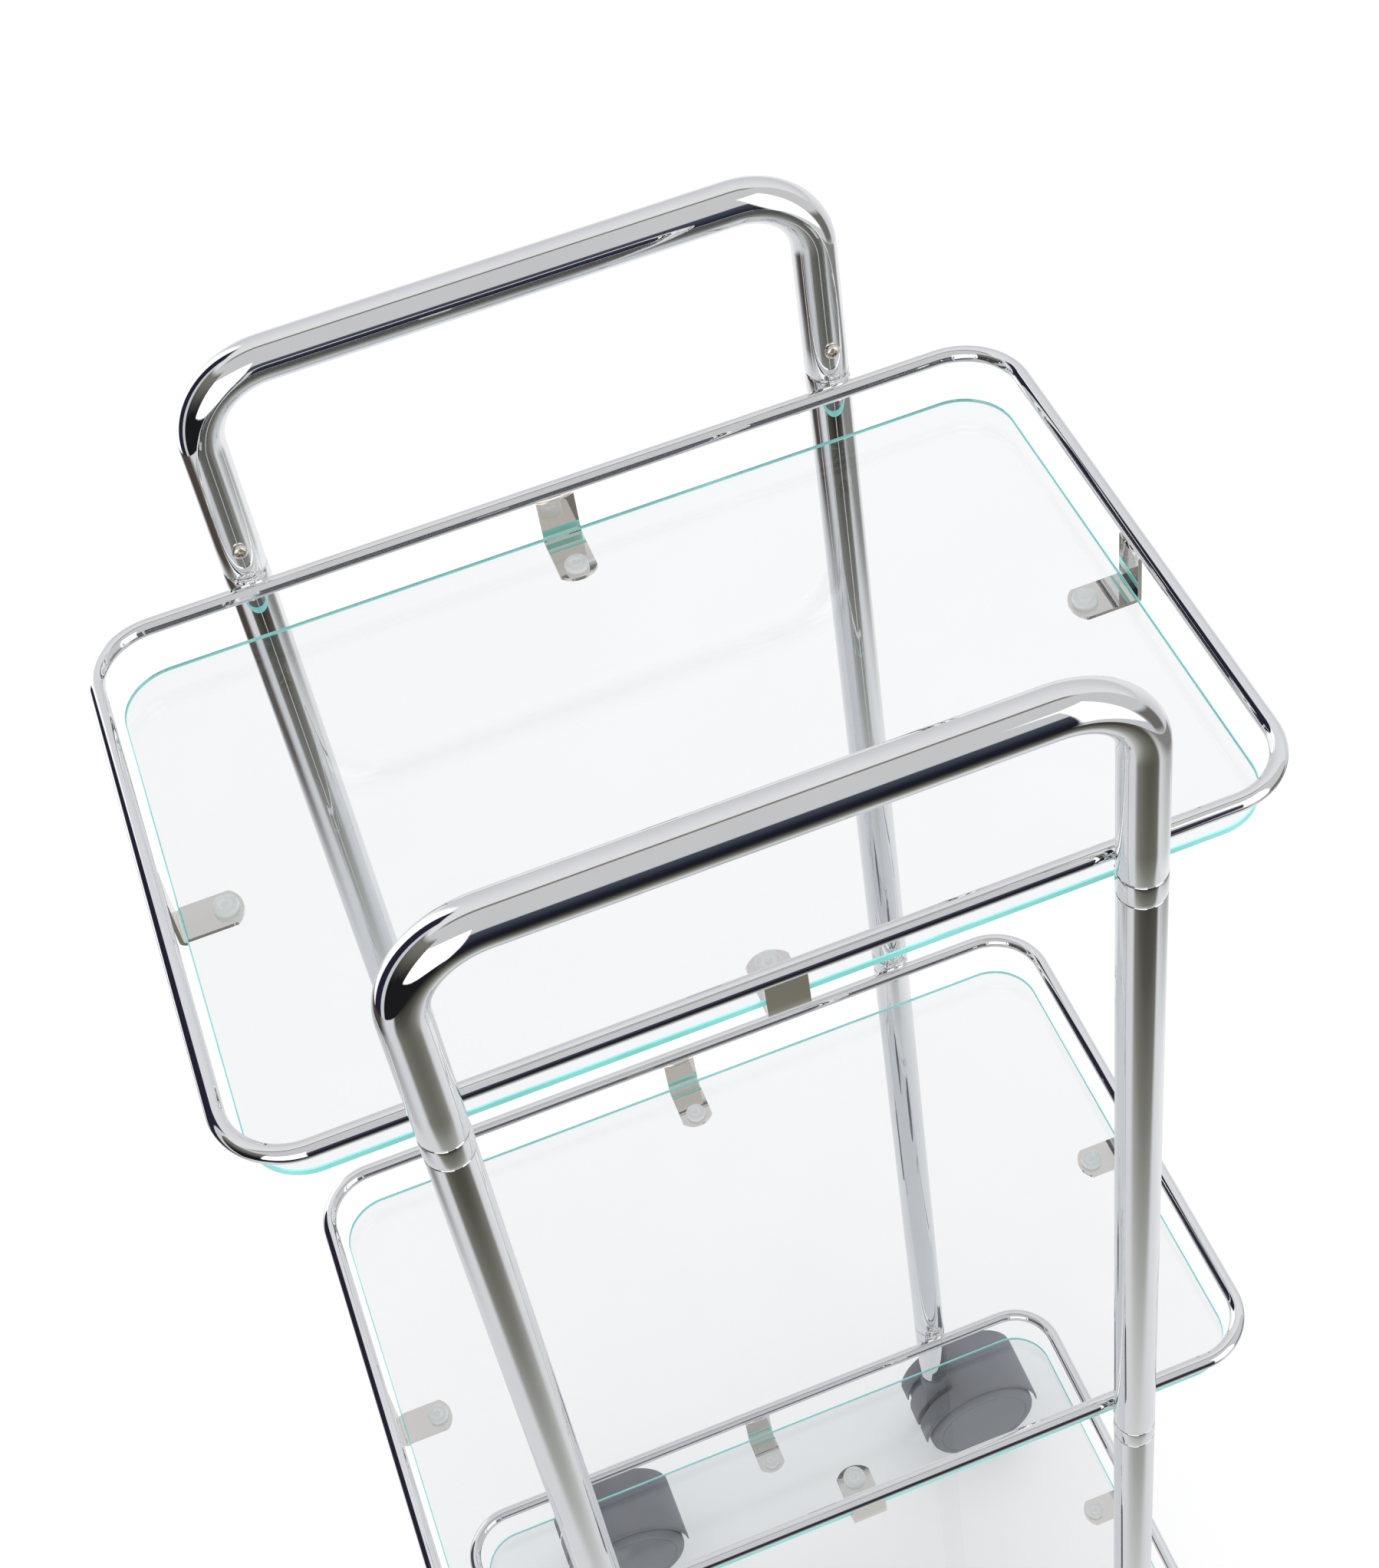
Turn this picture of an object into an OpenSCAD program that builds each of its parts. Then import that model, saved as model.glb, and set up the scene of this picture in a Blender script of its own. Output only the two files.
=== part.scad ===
// Three-tier glass spa trolley on twin-wheel casters.
// Origin on the floor under the middle of the trolley, +Z up, X along the shelves' long sides.

/* [Frame] */
// Outside diameter of the leg and handle tube
tube_d = 16; // [14:0.5:18]
// Wall of the leg and handle tube
tube_wall = 1.2; // [1:0.1:1.5]
// Distance between the leg axes along X
leg_spacing_x = 219; // [200:1:240]
// Height of the bottom shelf's rod above the floor
bottom_rod_z = 131; // [125:1:150]
// Height from one shelf's rod to the next
shelf_pitch = 359; // [250:1:400]
// Length of the leg stub below the bottom rod
stub_drop = 54; // [50:1:56]

/* [Handles] */
// Height of the handle bar's axis above the top rod
handle_rise = 87; // [60:1:120]
// Bend radius of the handle, at the tube's axis
handle_bend_r = 28; // [22:1:34]

/* [Shelf rods] */
// Diameter of the rod that runs round each shelf
rod_d = 6; // [5:0.5:7]
// Half length of the rod loop, at the rod's axis
rod_half_x = 170; // [160:1:180]
// Half width of the rod loop, at the rod's axis
rod_half_y = 113; // [105:1:125]
// Corner radius of the rod loop, at the rod's axis
rod_corner_r = 23; // [20:1:30]

/* [Glass] */
// Thickness of each pane
glass_t = 3; // [3:0.5:4]
// Gap between the rod's inner side and the pane's edge
glass_gap = 1.4; // [0.5:0.1:2]
// Corner radius of each pane
glass_corner_r = 20; // [19:1:26]
// Depth of each pane's top face below the rod's axis
glass_drop = 17; // [12:0.5:20]

/* [Clips and pads] */
// Width of the strip that each clip is bent from
clip_w = 14; // [10:1:18]
// Thickness of the strip
clip_t = 1.4; // [1:0.1:2]
// Length of the clip's foot, from the plate's outer face to its round end
clip_foot = 23; // [18:0.5:24]
// Diameter of the silicone pad
pad_d = 8.8; // [7:0.1:10]
// Height of the silicone pad
pad_h = 2.6; // [2:0.1:4]

/* [Casters] */
// Wheel radius
wheel_r = 32; // [28:1:32]
// Offset of the axle behind the swivel axis
trail = 20; // [18:1:22]
// Width over both wheels of a caster
caster_w = 45; // [42:1:48]
// Width of the hood
hood_w = 39; // [36:1:40]
// Stem radius
stem_r = 4; // [3:0.1:4.5]

/* [Hidden] */

$fn = 64;
eps = 0.01;

chrome = [0.80, 0.81, 0.82];
steel = [0.62, 0.63, 0.65];
clear_glass = [0.72, 0.88, 0.87, 0.4];
silicone = [0.86, 0.88, 0.88, 0.7];
grey_plastic = [0.24, 0.25, 0.27];

tube_r = tube_d / 2;
bore_r = tube_r - tube_wall;
rod_r = rod_d / 2;

// the collar is a little fuller than the tube, and the rod lies against it
collar_bulge = 0.4;
collar_r = tube_r + collar_bulge;
collar_up = 2.6;
collar_down = 7.4;
rod_to_collar = 0.1;

leg_x = leg_spacing_x / 2;
leg_y = rod_half_y + rod_r + rod_to_collar + collar_r;

bottom_z = bottom_rod_z;
middle_z = bottom_z + shelf_pitch;
top_z = middle_z + shelf_pitch;
bar_z = top_z + handle_rise;
stub_z = bottom_z - stub_drop;

glass_half_x = rod_half_x - rod_r - glass_gap;
glass_half_y = rod_half_y - rod_r - glass_gap;
glass_bottom = -glass_drop - glass_t;
pad_clear = 0.05;
foot_top = glass_bottom - pad_clear - pad_h;
plate_gap = 1.4;
plate_in_x = glass_half_x + plate_gap;
plate_in_y = glass_half_y + plate_gap;
clip_bend_r = 1.2;
pad_inset = 16;

// inner sleeves that join the tube sections through each collar
spigot_r = bore_r - 0.05;
spigot_wall = 1.5;
spigot_up = 20;
spigot_down = 24;

// pan-head screw that holds each handle leg on its sleeve
screw_r = 1.45;
screw_hole_r = 1.5;
screw_head_r = 2.8;
screw_head_h = 1.9;
screw_rise = 14;
screw_len = 6;

wheel_gap = 0.5;
web_t = 12;
hood_r = wheel_r + 3;
hood_wall = 1.8;
axle_z = wheel_r;
axle_r = 3;
running_gap = 0.05;
axle_reach = caster_w / 2 - 4;
boss_r = 8;
slot_half = 9.5;
stem_seat_z = axle_z + 16;
socket_flange_t = 1;
boss_top_z = stub_z - socket_flange_t - 0.2;
boss_low_z = axle_z + wheel_r;
socket_depth = 26;
stem_top_z = stub_z + socket_depth - 3;

// ---- shared shapes ----

module tube(z0, z1, ro = tube_r, ri = bore_r) {
    difference() {
        translate([0, 0, z0]) cylinder(r = ro, h = z1 - z0);
        translate([0, 0, z0 - 1]) cylinder(r = ri, h = z1 - z0 + 2);
    }
}

module at_legs() {
    for (sx = [-1, 1], sy = [-1, 1])
        translate([sx * leg_x, sy * leg_y, 0]) children();
}

// solid of an upside-down U in the XZ plane, feet open at foot_z
module u_path(r, foot_z, foot_extra = 0) {
    bend_x = leg_x - handle_bend_r;
    bend_z = bar_z - handle_bend_r;
    for (s = [-1, 1]) {
        translate([s * leg_x, 0, foot_z - foot_extra])
            cylinder(r = r, h = bend_z - foot_z + foot_extra);
        translate([s * bend_x, 0, bend_z])
            rotate([90, 0, 0])
                rotate([0, 0, s > 0 ? 0 : 90])
                    rotate_extrude(angle = 90)
                        translate([handle_bend_r, 0]) circle(r = r);
    }
    translate([-bend_x, 0, bar_z]) rotate([0, 90, 0]) cylinder(r = r, h = 2 * bend_x);
}

module rounded_plate(half_x, half_y, corner_r, t) {
    linear_extrude(t) {
        square([2 * half_x, 2 * (half_y - corner_r)], center = true);
        square([2 * (half_x - corner_r), 2 * half_y], center = true);
        for (sx = [-1, 1], sy = [-1, 1])
            translate([sx * (half_x - corner_r), sy * (half_y - corner_r)]) circle(r = corner_r);
    }
}

// ---- frame ----

module handle(side) {
    foot_z = top_z + collar_up;
    color(chrome)
        translate([0, side * leg_y, 0])
            difference() {
                u_path(tube_r, foot_z);
                u_path(bore_r, foot_z, 1);
                for (s = [-1, 1])
                    translate([s * leg_x, 0, foot_z + screw_rise])
                        rotate([side * 90, 0, 0]) cylinder(r = screw_hole_r, h = tube_d);
            }
}

module leg(sx, sy, z_low, z_high) {
    color(chrome) translate([sx * leg_x, sy * leg_y, 0]) tube(z_low, z_high);
}

module leg_upper(sx, sy) leg(sx, sy, middle_z + collar_up, top_z - collar_down);
module leg_lower(sx, sy) leg(sx, sy, bottom_z + collar_up, middle_z - collar_down);
module leg_stub(sx, sy) leg(sx, sy, stub_z, bottom_z - collar_down);

module rod_loop(z) {
    long = 2 * (rod_half_x - rod_corner_r);
    short = 2 * (rod_half_y - rod_corner_r);
    color(chrome)
        translate([0, 0, z]) {
            for (s = [-1, 1]) {
                translate([0, s * rod_half_y, 0])
                    rotate([0, 90, 0]) cylinder(r = rod_r, h = long, center = true);
                translate([s * rod_half_x, 0, 0])
                    rotate([90, 0, 0]) cylinder(r = rod_r, h = short, center = true);
            }
            for (turn = [0:3])
                translate([(turn == 0 || turn == 3 ? 1 : -1) * long / 2, (turn < 2 ? 1 : -1) * short / 2, 0])
                    rotate([0, 0, 90 * turn])
                        rotate_extrude(angle = 90)
                            translate([rod_corner_r, 0]) circle(r = rod_r);
        }
}

// short ring with soft edges, one on each leg
module collars(z) {
    soft = collar_bulge;
    color(chrome)
        at_legs()
            translate([0, 0, z])
                rotate_extrude()
                    polygon([
                        [bore_r, -collar_down], [tube_r, -collar_down], [collar_r, -collar_down + soft * 3],
                        [collar_r, collar_up - soft * 3], [tube_r, collar_up], [bore_r, collar_up]
                    ]);
}

// weld beads in the corners between the rod and each collar
module welds(z) {
    bead_r = 1.7;
    crevice_y = rod_half_y + rod_r - 0.4;
    color(chrome)
        for (sx = [-1, 1], sy = [-1, 1], side = [-1, 1], k = [0:2])
            translate([sx * leg_x + side * (2.2 + k * 1.1), sy * crevice_y, z + 1.2 - k * 1.5])
                sphere(r = bead_r, $fn = 24);
}

module spigots(z) {
    color(steel)
        difference() {
            at_legs() translate([0, 0, z]) tube(-spigot_down, spigot_up, spigot_r, spigot_r - spigot_wall);
            if (z == top_z)
                for (sx = [-1, 1], side = [-1, 1])
                    translate([sx * leg_x, side * leg_y, z + collar_up + screw_rise])
                        rotate([side * 90, 0, 0]) cylinder(r = screw_hole_r, h = tube_d);
        }
}

module handle_screws() {
    slot_w = 0.7;
    color(steel)
        for (sx = [-1, 1], side = [-1, 1])
            translate([sx * leg_x, side * leg_y, top_z + collar_up + screw_rise])
                rotate([side * 90, 0, 0])
                    difference() {
                        union() {
                            translate([0, 0, tube_r - screw_len])
                                cylinder(r = screw_r, h = screw_len + 0.5);
                            // the head is a low dome with a short straight rim
                            translate([0, 0, tube_r + 0.1]) cylinder(r = screw_head_r, h = 0.9);
                            translate([0, 0, tube_r + 1.0])
                                cylinder(r1 = screw_head_r, r2 = screw_head_r - 0.9, h = screw_head_h - 1);
                        }
                        for (turn = [0, 90])
                            rotate([0, 0, turn])
                                translate([0, 0, tube_r + screw_head_h])
                                    cube([3.2, slot_w, 2], center = true);
                    }
}

// ---- shelves ----

// one clip: its plate's inner face is the plane y = 0, and its foot points to -Y
module clip_shape() {
    plate_top = -rod_r + 1.2;
    bend_z = foot_top + clip_bend_r;
    outer_r = clip_bend_r + clip_t;
    flat = clip_foot - outer_r;
    end_r = clip_w * 0.62;
    translate([-clip_w / 2, 0, bend_z]) cube([clip_w, clip_t, plate_top - bend_z]);
    translate([-clip_w / 2, -clip_bend_r, bend_z])
        rotate([90, 0, 90])
            rotate([0, 0, -90])
                rotate_extrude(angle = 90)
                    translate([clip_bend_r, 0]) square([clip_t, clip_w]);
    translate([0, -clip_bend_r, foot_top - clip_t])
        linear_extrude(clip_t)
            intersection() {
                translate([-clip_w / 2, -flat]) square([clip_w, flat]);
                union() {
                    translate([0, -flat + end_r]) circle(r = end_r);
                    translate([-clip_w / 2, -flat + end_r]) square([clip_w, flat]);
                }
            }
}

// places a clip's children in the middle of each side of the shelf
module at_sides() {
    for (s = [0, 180]) {
        rotate([0, 0, s]) translate([0, plate_in_y, 0]) children();
        rotate([0, 0, s - 90]) translate([0, plate_in_x, 0]) children();
    }
}

module clips(z) {
    color(chrome)
        translate([0, 0, z])
            difference() {
                at_sides() clip_shape();
                // each plate's top is coped to the round rod
                for (s = [-1, 1]) {
                    translate([0, s * rod_half_y, 0])
                        rotate([0, 90, 0]) cylinder(r = rod_r, h = 2 * clip_w, center = true);
                    translate([s * rod_half_x, 0, 0])
                        rotate([90, 0, 0]) cylinder(r = rod_r, h = 2 * clip_w, center = true);
                }
            }
}

// round silicone bumper with a ring groove and a nipple in the middle
module pad_shape() {
    r = pad_d / 2;
    rotate_extrude()
        polygon([
            [0, 0], [r, 0], [r, pad_h * 0.45], [r * 0.86, pad_h], [r * 0.62, pad_h],
            [r * 0.52, pad_h * 0.7], [r * 0.36, pad_h * 0.7], [r * 0.28, pad_h * 0.92], [0, pad_h * 0.92]
        ]);
}

module pads(z) {
    color(silicone)
        translate([0, 0, z])
            at_sides() translate([0, -pad_inset, foot_top]) pad_shape();
}

module glass(z) {
    color(clear_glass)
        translate([0, 0, z + glass_bottom])
            rounded_plate(glass_half_x, glass_half_y, glass_corner_r, glass_t);
}

// ---- casters ----

// plastic sleeve in the end of each leg, with a thin flange under the tube
module caster_sockets() {
    color(grey_plastic)
        at_legs() {
            difference() {
                union() {
                    translate([0, 0, stub_z]) cylinder(r = bore_r - 0.05, h = socket_depth);
                    translate([0, 0, stub_z - socket_flange_t])
                        cylinder(r = tube_r - 0.3, h = socket_flange_t);
                }
                translate([0, 0, stub_z - socket_flange_t - 1])
                    cylinder(r = stem_r + running_gap, h = socket_depth);
            }
        }
}

module at_caster(sx, sy) translate([sx * leg_x, sy * leg_y, 0]) children();

// cylinder along Y, centred on the axle
module across(r, w) translate([trail, 0, axle_z]) rotate([90, 0, 0]) cylinder(r = r, h = w, center = true);

module hood(sx, sy) {
    inner_r = hood_r - hood_wall;
    color(grey_plastic)
        at_caster(sx, sy)
            difference() {
                union() {
                    // arched shell over the wheels, open at the front where the stem boss stands
                    difference() {
                        across(hood_r, hood_w);
                        across(inner_r, hood_w + 2);
                        translate([trail, 0, axle_z - hood_r])
                            cube([3 * hood_r, 2 * hood_w, 2 * hood_r], center = true);
                        translate([-hood_r, -slot_half, axle_z])
                            cube([hood_r + boss_r - 1, 2 * slot_half, 2 * hood_r]);
                    }
                    // web between the wheels
                    intersection() {
                        across(inner_r + eps, web_t);
                        translate([0, -web_t, axle_z - 10]) cube([2 * hood_r, 2 * web_t, 2 * hood_r]);
                    }
                    // the web's end behind the stem, flush with the shell
                    intersection() {
                        across(hood_r, web_t);
                        translate([-hood_r, -web_t, axle_z]) cube([hood_r + 1, 2 * web_t, hood_r]);
                    }
                    translate([0, 0, axle_z - 4]) cylinder(r = web_t / 2, h = boss_top_z - axle_z);
                    translate([0, 0, boss_low_z]) cylinder(r = boss_r, h = boss_top_z - boss_low_z);
                }
                translate([0, 0, stem_seat_z]) cylinder(r = stem_r, h = boss_top_z);
                across(axle_r, hood_w);
            }
}

module stem(sx, sy) {
    groove_z = stem_top_z - 5;
    color(steel)
        at_caster(sx, sy)
            difference() {
                union() {
                    translate([0, 0, stem_seat_z]) cylinder(r = stem_r, h = stem_top_z - stem_seat_z - 1);
                    translate([0, 0, stem_top_z - 1]) cylinder(r1 = stem_r, r2 = stem_r - 1, h = 1);
                }
                difference() {
                    translate([0, 0, groove_z]) cylinder(r = stem_r + 1, h = 1.5);
                    translate([0, 0, groove_z - 1]) cylinder(r = stem_r - 1, h = 4);
                }
            }
}

module axle(sx, sy) color(steel) at_caster(sx, sy) across(axle_r, 2 * axle_reach);

// side is -1 for the wheel nearer -Y and 1 for the other; the hub's bore is blind
module wheel(sx, sy, side) {
    inner_face = web_t / 2 + wheel_gap;
    wide = caster_w / 2 - inner_face;
    shoulder = 4;
    face = wide - 0.7;
    ring_r = wheel_r - 5.6;
    color(grey_plastic)
        at_caster(sx, sy)
            translate([trail, side * inner_face, axle_z])
                rotate([-side * 90, 0, 0])
                    difference() {
                        rotate_extrude($fn = 96)
                            polygon([
                                [0, 0], [wheel_r - 1, 0], [wheel_r, 1], [wheel_r, wide - shoulder],
                                [wheel_r - 0.8, wide - 2.2], [wheel_r - 2.2, wide - 1],
                                [wheel_r - shoulder, face], [ring_r + 0.4, face],
                                [ring_r, face - 0.4], [ring_r - 0.4, face],
                                [ring_r * 0.6, wide - 0.2], [ring_r * 0.3, wide], [0, wide]
                            ]);
                        translate([0, 0, -1])
                            cylinder(r = axle_r + running_gap, h = axle_reach - inner_face + 2);
                    }
}

handle(-1);  // handle_front
handle(1);  // handle_back
leg_upper(-1, -1);  // leg_upper_fl
leg_upper(1, -1);  // leg_upper_fr
leg_upper(-1, 1);  // leg_upper_bl
leg_upper(1, 1);  // leg_upper_br
leg_lower(-1, -1);  // leg_lower_fl
leg_lower(1, -1);  // leg_lower_fr
leg_lower(-1, 1);  // leg_lower_bl
leg_lower(1, 1);  // leg_lower_br
leg_stub(-1, -1);  // leg_stub_fl
leg_stub(1, -1);  // leg_stub_fr
leg_stub(-1, 1);  // leg_stub_bl
leg_stub(1, 1);  // leg_stub_br
rod_loop(top_z);  // rod_top
rod_loop(middle_z);  // rod_middle
rod_loop(bottom_z);  // rod_bottom
collars(top_z);  // collars_top
collars(middle_z);  // collars_middle
collars(bottom_z);  // collars_bottom
welds(top_z);  // welds_top
welds(middle_z);  // welds_middle
welds(bottom_z);  // welds_bottom
spigots(top_z);  // spigots_top
spigots(middle_z);  // spigots_middle
spigots(bottom_z);  // spigots_bottom
clips(top_z);  // clips_top
clips(middle_z);  // clips_middle
clips(bottom_z);  // clips_bottom
pads(top_z);  // pads_top
pads(middle_z);  // pads_middle
pads(bottom_z);  // pads_bottom
glass(top_z);  // glass_top
glass(middle_z);  // glass_middle
glass(bottom_z);  // glass_bottom
handle_screws();
caster_sockets();
hood(-1, -1);  // hood_fl
hood(1, -1);  // hood_fr
hood(-1, 1);  // hood_bl
hood(1, 1);  // hood_br
stem(-1, -1);  // stem_fl
stem(1, -1);  // stem_fr
stem(-1, 1);  // stem_bl
stem(1, 1);  // stem_br
axle(-1, -1);  // axle_fl
axle(1, -1);  // axle_fr
axle(-1, 1);  // axle_bl
axle(1, 1);  // axle_br
wheel(-1, -1, -1);  // wheel_outer_fl
wheel(1, -1, -1);  // wheel_outer_fr
wheel(-1, 1, 1);  // wheel_outer_bl
wheel(1, 1, 1);  // wheel_outer_br
wheel(-1, -1, 1);  // wheel_inner_fl
wheel(1, -1, 1);  // wheel_inner_fr
wheel(-1, 1, -1);  // wheel_inner_bl
wheel(1, 1, -1);  // wheel_inner_br
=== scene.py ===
import math
import random

import bmesh
import bpy
from mathutils import Matrix, Vector


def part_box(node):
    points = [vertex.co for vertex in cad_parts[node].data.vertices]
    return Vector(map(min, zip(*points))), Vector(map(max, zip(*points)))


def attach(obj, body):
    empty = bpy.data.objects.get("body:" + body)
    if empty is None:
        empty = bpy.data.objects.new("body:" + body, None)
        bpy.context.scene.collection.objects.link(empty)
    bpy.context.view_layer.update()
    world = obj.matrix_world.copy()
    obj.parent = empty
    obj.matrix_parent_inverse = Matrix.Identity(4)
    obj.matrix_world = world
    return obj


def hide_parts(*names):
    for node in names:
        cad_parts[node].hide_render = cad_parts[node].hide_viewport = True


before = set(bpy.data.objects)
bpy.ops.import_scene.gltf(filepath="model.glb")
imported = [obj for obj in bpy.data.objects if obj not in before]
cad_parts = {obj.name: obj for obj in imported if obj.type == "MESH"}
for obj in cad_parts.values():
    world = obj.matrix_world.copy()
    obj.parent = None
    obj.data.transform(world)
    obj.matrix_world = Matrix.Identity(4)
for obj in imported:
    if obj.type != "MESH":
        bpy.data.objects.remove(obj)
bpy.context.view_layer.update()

MM = 0.001
SHELVES = ("top", "middle", "bottom")
CORNERS = {"fl": (-1, -1), "fr": (1, -1), "bl": (-1, 1), "br": (1, 1)}

# ---------------------------------------------------------------- sizes, all read from the frame


def low(node):
    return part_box(node)[0]


def high(node):
    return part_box(node)[1]


def mid(node):
    return (low(node) + high(node)) / 2


LEG_X = mid("leg_upper_fr").x
LEG_Y = mid("leg_upper_br").y
TUBE_R = (high("leg_upper_fr").x - low("leg_upper_fr").x) / 2
BORE_R = (high("spigots_top").x - LEG_X) + 0.05 * MM
ROD_R = (high("rod_top").z - low("rod_top").z) / 2
ROD_X = high("rod_top").x - ROD_R
ROD_Y = high("rod_top").y - ROD_R
ROD_Z = {s: mid("rod_" + s).z for s in SHELVES}
ROD_CORNER = 23 * MM
COLLAR_R = high("collars_top").x - LEG_X
COLLAR_LOW = low("collars_top").z - ROD_Z["top"]
COLLAR_HIGH = high("collars_top").z - ROD_Z["top"]
BAR_Z = high("handle_front").z - TUBE_R
HANDLE_BEND = 28 * MM
GLASS_X = high("glass_top").x
GLASS_Y = high("glass_top").y
GLASS_LOW = low("glass_top").z - ROD_Z["top"]
GLASS_HIGH = high("glass_top").z - ROD_Z["top"]
GLASS_CORNER = 20 * MM
PAD_LOW = low("pads_top").z - ROD_Z["top"]
PAD_HIGH = high("pads_top").z - ROD_Z["top"]
CLIP_LOW = low("clips_top").z - ROD_Z["top"]
CLIP_T = PAD_LOW - CLIP_LOW
PLATE_X = high("clips_top").x - CLIP_T
PLATE_Y = high("clips_top").y - CLIP_T
CLIP_W = 14 * MM
CLIP_FOOT = 23 * MM
PAD_INSET = 16 * MM
PAD_R = high("pads_top").x - (PLATE_X - PAD_INSET)
AXLE_X = mid("axle_fr").x - LEG_X
AXLE_Z = mid("axle_fr").z
WHEEL_R = (high("wheel_outer_fr").z - low("wheel_outer_fr").z) / 2
WHEEL_OUT = -LEG_Y - low("wheel_outer_fr").y
WHEEL_IN = -LEG_Y - high("wheel_outer_fr").y
HOOD_W = high("hood_fr").y - mid("hood_fr").y
HOOD_R = (high("hood_fr").x - low("hood_fr").x) / 2
BOSS_TOP = high("hood_fr").z
SCREW_Z = mid("handle_screws").z
SCREW_R = (high("handle_screws").z - low("handle_screws").z) / 2

# ---------------------------------------------------------------- materials


class Nodes:
    """A material's node tree, with short calls to add and link nodes."""

    def __init__(self, name):
        self.material = bpy.data.materials.new(name)
        self.material.use_nodes = True
        self.tree = self.material.node_tree
        self.tree.nodes.clear()
        self.out = self.add("ShaderNodeOutputMaterial")
        self.coords = self.add("ShaderNodeTexCoord").outputs["Object"]

    def add(self, kind, **settings):
        node = self.tree.nodes.new(kind)
        for key, value in settings.items():
            if key in node.inputs:
                node.inputs[key].default_value = value
            else:
                setattr(node, key, value)
        return node

    def link(self, a, b):
        self.tree.links.new(a, b)

    def scaled(self, scale):
        """Object coordinates times a vector."""
        node = self.add("ShaderNodeVectorMath", operation="MULTIPLY")
        self.link(self.coords, node.inputs[0])
        node.inputs[1].default_value = scale
        return node.outputs[0]

    def noise(self, size, detail=3.0, rough=0.5, stretch=(1, 1, 1)):
        """Noise whose features are about size metres across."""
        node = self.add("ShaderNodeTexNoise", Scale=1.0, Detail=detail, Roughness=rough)
        self.link(self.scaled([k / size for k in stretch]), node.inputs["Vector"])
        return node.outputs["Fac"]

    def ramp(self, source, stops):
        node = self.add("ShaderNodeValToRGB")
        ramp = node.color_ramp
        while len(ramp.elements) < len(stops):
            ramp.elements.new(0.5)
        for element, (place, colour) in zip(ramp.elements, stops):
            element.position = place
            element.color = (*colour, 1) if len(colour) == 3 else colour
        self.link(source, node.inputs["Fac"])
        return node.outputs["Color"]

    def span(self, source, lo, hi, from_lo=0.3, from_hi=0.7):
        """Maps a value's middle part to lo..hi."""
        node = self.add("ShaderNodeMapRange")
        self.link(source, node.inputs["Value"])
        node.inputs["From Min"].default_value = from_lo
        node.inputs["From Max"].default_value = from_hi
        node.inputs["To Min"].default_value = lo
        node.inputs["To Max"].default_value = hi
        return node.outputs["Result"]

    def bump(self, height, distance, strength=1.0, under=None):
        node = self.add("ShaderNodeBump", Strength=strength, Distance=distance)
        self.link(height, node.inputs["Height"])
        if under is not None:
            self.link(under, node.inputs["Normal"])
        return node.outputs["Normal"]

    def shader(self, **settings):
        node = self.add("ShaderNodeBsdfPrincipled")
        for key, value in settings.items():
            socket = node.inputs[key.replace("_", " ")]
            if isinstance(value, bpy.types.NodeSocket):
                self.link(value, socket)
            else:
                socket.default_value = value
        self.link(node.outputs[0], self.out.inputs["Surface"])
        return node


def chrome(name, tint, wave, smudge=0.05):
    """Bright plating: a faint waviness, haze from handling and a few fine wipe marks."""
    n = Nodes(name)
    haze = n.noise(0.045, 4.0, 0.6)
    grain = n.noise(0.0011, 2.0, 0.5)
    wipe = n.noise(0.004, 3.0, 0.7, (1.0, 1.0, 0.06))
    colour = n.ramp(haze, [(0.3, [c * 0.955 for c in tint]), (0.72, tint)])
    rough = n.add("ShaderNodeMath", operation="ADD")
    n.link(n.span(haze, 0.008, smudge, 0.5, 0.9), rough.inputs[0])
    n.link(n.span(wipe, 0.0, 0.02, 0.6, 0.85), rough.inputs[1])
    swell = n.bump(n.noise(0.021, 1.0, 0.4), wave, 0.6)
    normal = n.bump(grain, 0.0000035, 0.5, swell)
    n.shader(Base_Color=colour, Metallic=1.0, Roughness=rough.outputs[0], Normal=normal)
    return n.material


CHROME = chrome("chrome_plated_tube", (0.93, 0.935, 0.94), 0.00002)
ROD_CHROME = chrome("chrome_plated_rod", (0.93, 0.935, 0.94), 0.00001)
CLIP_CHROME = chrome("chrome_plated_strip", (0.985, 0.945, 0.885), 0.00002, 0.1)
WELD_CHROME = chrome("chrome_plated_weld", (0.90, 0.90, 0.905), 0.0003, 0.12)


def steel(name, colour, rough):
    """Plain or nickel-plated steel with lengthwise drawing lines."""
    n = Nodes(name)
    lines = n.noise(0.0006, 2.0, 0.6, (1, 1, 0.08))
    patch = n.noise(0.012, 3.0, 0.55)
    tone = n.ramp(patch, [(0.3, [c * 0.85 for c in colour]), (0.7, colour)])
    n.shader(
        Base_Color=tone, Metallic=1.0, Roughness=n.span(patch, rough * 0.8, rough * 1.3),
        Normal=n.bump(lines, 0.00002, 0.5),
    )
    return n.material


SLEEVE_STEEL = steel("drawn_steel", (0.56, 0.57, 0.58), 0.3)
SCREW_STEEL = steel("nickel_plated_screw", (0.92, 0.86, 0.76), 0.2)


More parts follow.
